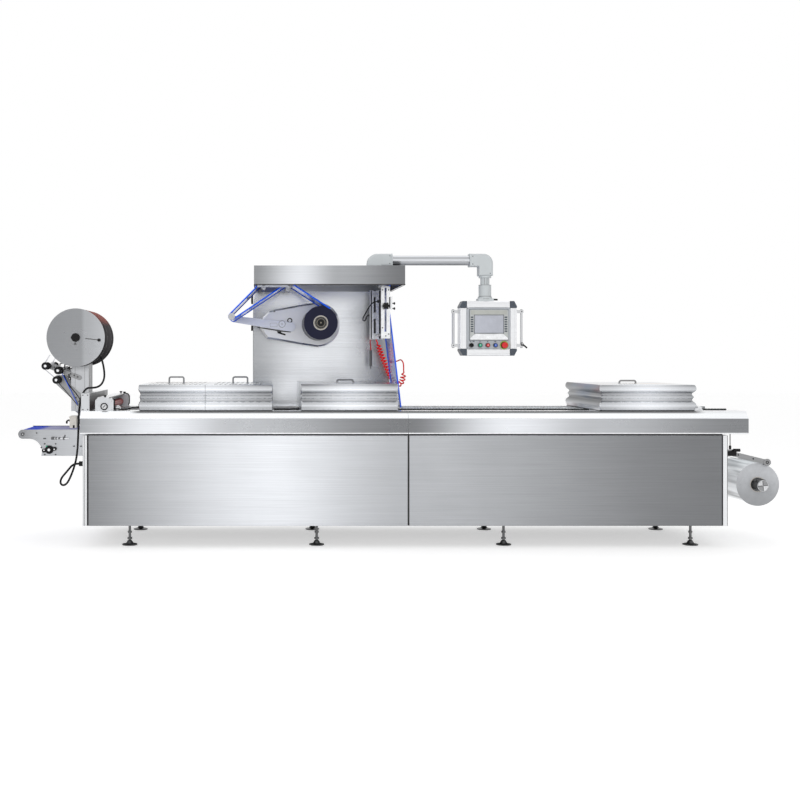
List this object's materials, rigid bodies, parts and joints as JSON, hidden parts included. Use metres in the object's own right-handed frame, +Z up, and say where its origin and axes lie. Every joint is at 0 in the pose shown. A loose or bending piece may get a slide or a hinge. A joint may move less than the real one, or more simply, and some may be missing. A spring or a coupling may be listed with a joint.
{
  "type": "thermoforming packaging machine",
  "caption": "Long stainless thermoforming packaging machine with corrugated station covers, film unwinding column, swivelling control panel, trim winder and discharge conveyor.",
  "frame": {"origin": "middle of the machine's outline, on the floor", "axes": "+X runs from the discharge end to the bottom film roll, +Y from the operator's side to the rear, +Z is up"},
  "size_m": [5.36, 1.195, 2.0325],
  "materials": {
    "brushed_panels": "horizontally brushed stainless steel",
    "brushed_top": "brushed stainless steel, bright",
    "polished_covers": "polished stainless steel",
    "dark_frame": "dark grey paint",
    "steel_parts": "machined steel",
    "feet": "plated steel",
    "film_blue": "translucent blue film",
    "film_navy": "dark navy wound film",
    "film_white": "milky wound film",
    "film_clear": "clear film",
    "casing": "light grey paint",
    "arm_paint": "light grey-green paint",
    "aluminium": "anodised",
    "panel_dark": "dark slate plastic",
    "panel_grey": "grey paint",
    "screen": "light plastic bezel",
    "buttons": "coloured caps",
    "black_plastic": "black",
    "rubber_red": "dark red rubber",
    "belt": "blue belt",
    "beige": "beige plastic",
    "cable_black": "black cable sheath",
    "hose_red": "red polyurethane hose"
  },
  "bodies": {
    "machine": {"base_frame": "dark_frame", "levelling_feet": "feet", "front_panels": "brushed_panels", "rear_panels": "brushed_panels", "end_panels": "brushed_panels", "corner_posts": "aluminium", "worktop_left": "brushed_top", "worktop_right": "brushed_top", "chain_rails": "steel_parts", "bottom_film_web": "film_clear", "cutting_covers": "polished_covers", "sealing_cover": "polished_covers", "forming_cover": "polished_covers", "cover_handles": "steel_parts", "column_cabinet": "brushed_panels", "cabinet_hinges": "black_plastic", "column_hood": "brushed_panels", "film_rollers": "aluminium", "top_film_web": "film_blue", "unwind_casing": "casing", "dancer_arm": "casing", "guide_frames": "aluminium", "clamp_knobs": "black_plastic", "arm_base": "arm_paint", "winder_post": "casing", "trim_arms": "aluminium", "nip_frame": "aluminium", "nip_roller": "rubber_red", "conveyor_sides": "brushed_top", "conveyor_belt": "belt", "conveyor_rollers": "steel_parts", "conveyor_bearing": "black_plastic", "junction_box": "beige", "bottom_roll_bracket": "brushed_panels", "press_arm": "aluminium", "cable_bundle": "cable_black", "sensor_cable": "cable_black", "deck_cable": "cable_black", "air_hose_coil": "hose_red", "air_hose_gun_end": "hose_red", "air_hose_column_end": "hose_red", "air_gun": "steel_parts", "cable_glands": "black_plastic"},
    "arm": {"arm_elbows": "arm_paint", "arm_tube": "aluminium"},
    "control_panel": {"drop_tube": "arm_paint", "panel_frame": "aluminium", "panel_box": "panel_grey", "panel_corners": "panel_dark", "screen_unit": "screen", "panel_buttons": "buttons", "panel_handles": "aluminium"},
    "top_roll": {"top_film_roll": "film_navy", "top_roll_hub": "steel_parts"},
    "trim_reel": {"trim_reels": "brushed_panels", "reel_shaft": "black_plastic"},
    "bottom_roll": {"bottom_film_roll": "film_white", "bottom_roll_shaft": "steel_parts"}
  },
  "joints": [
    {"name": "arm_swivel", "type": "hinge", "parent": "machine", "child": "arm", "pos_m": [-0.168, -0.2675, 1.986], "axis": [0, 0, 1], "range_deg": [-90, 30]},
    {"name": "panel_swivel", "type": "hinge", "parent": "arm", "child": "control_panel", "pos_m": [0.62, -0.2675, 1.8], "axis": [0, 0, 1], "range_deg": [-90, 90]},
    {"name": "top_roll_spin", "type": "hinge", "parent": "machine", "child": "top_roll", "pos_m": [-0.549, -0.1175, 1.542], "axis": [0, 1, 0], "continuous": true},
    {"name": "trim_reel_spin", "type": "hinge", "parent": "machine", "child": "trim_reel", "pos_m": [-2.274, -0.1175, 1.438], "axis": [0, 1, 0], "continuous": true},
    {"name": "bottom_roll_spin", "type": "hinge", "parent": "machine", "child": "bottom_roll", "pos_m": [2.529, -0.1175, 0.403], "axis": [0, 1, 0], "continuous": true}
  ]
}
